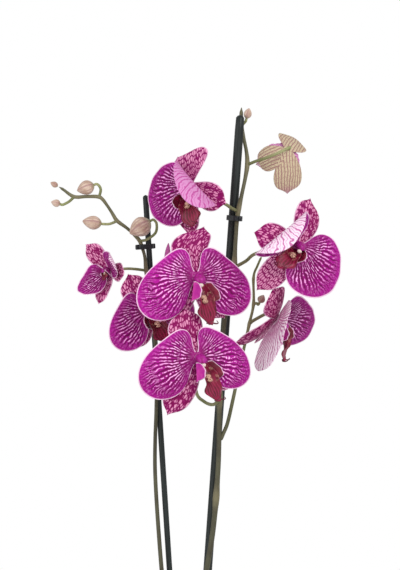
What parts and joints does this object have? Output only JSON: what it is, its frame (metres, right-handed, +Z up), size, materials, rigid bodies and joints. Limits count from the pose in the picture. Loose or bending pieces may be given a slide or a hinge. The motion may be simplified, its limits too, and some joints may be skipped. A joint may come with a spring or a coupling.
{
  "type": "potted orchid",
  "caption": "Moth orchid in a plain round pot, with staked flower spikes of open magenta flowers and buds above arching strap leaves.",
  "frame": {"origin": "middle of the pot's flat underside, on the surface it stands on", "axes": "+Z up along the pot's axis, -Y the way most of the flowers face, +X to the right of someone looking at them"},
  "size_m": [0.3411, 0.156, 0.6631],
  "materials": {
    "pot_glaze": "plain white glaze, satin",
    "liner_plastic": "thin dark nursery pot",
    "bark": "rough orchid bark",
    "leaf": "fresh leathery leaf, softly glossy",
    "root": "silvery green aerial root, matt",
    "spike": "olive brown to green flower stem, satin",
    "stake_plastic": "dark green coated stake",
    "clip_plastic": "dark moulded clip",
    "bud": "cream bud with mauve stripes",
    "sepal": "netted magenta on pale pink, matt",
    "petal": "veined magenta, matt",
    "lip": "dark wine red, satin",
    "column": "magenta with a pale tip, satin"
  },
  "bodies": {
    "root": {"pot": "pot_glaze", "liner": "liner_plastic", "left_stake": "stake_plastic", "right_stake": "stake_plastic", "bark": "bark", "left_upper_clip": "clip_plastic", "left_lower_clip": "clip_plastic", "right_upper_clip": "clip_plastic", "right_lower_clip": "clip_plastic", "left_spike": "spike", "right_spike": "spike", "flower_1_sepals": "sepal", "flower_1_petals": "petal", "flower_1_lip": "lip", "flower_1_column": "column", "flower_2_sepals": "sepal", "flower_2_petals": "petal", "flower_2_lip": "lip", "flower_2_column": "column", "flower_3_sepals": "sepal", "flower_3_petals": "petal", "flower_3_lip": "lip", "flower_3_column": "column", "flower_4_sepals": "sepal", "flower_4_petals": "petal", "flower_4_lip": "lip", "flower_4_column": "column", "flower_5_sepals": "sepal", "flower_5_petals": "petal", "flower_5_lip": "lip", "flower_5_column": "column", "flower_6_sepals": "sepal", "flower_6_petals": "petal", "flower_6_lip": "lip", "flower_6_column": "column", "flower_7_sepals": "sepal", "flower_7_petals": "petal", "flower_7_lip": "lip", "flower_7_column": "column", "flower_8_sepals": "sepal", "flower_8_petals": "petal", "flower_8_lip": "lip", "flower_8_column": "column", "left_bud_1": "bud", "left_bud_2": "bud", "left_bud_3": "bud", "left_bud_4": "bud", "left_bud_5": "bud", "hidden_bud": "bud", "branch_bud": "bud", "top_bud": "bud", "crown": "leaf", "leaf_1": "leaf", "leaf_2": "leaf", "leaf_3": "leaf", "leaf_4": "leaf", "leaf_5": "leaf", "root_1": "root", "root_2": "root", "root_3": "root"}
  },
  "joints": []
}
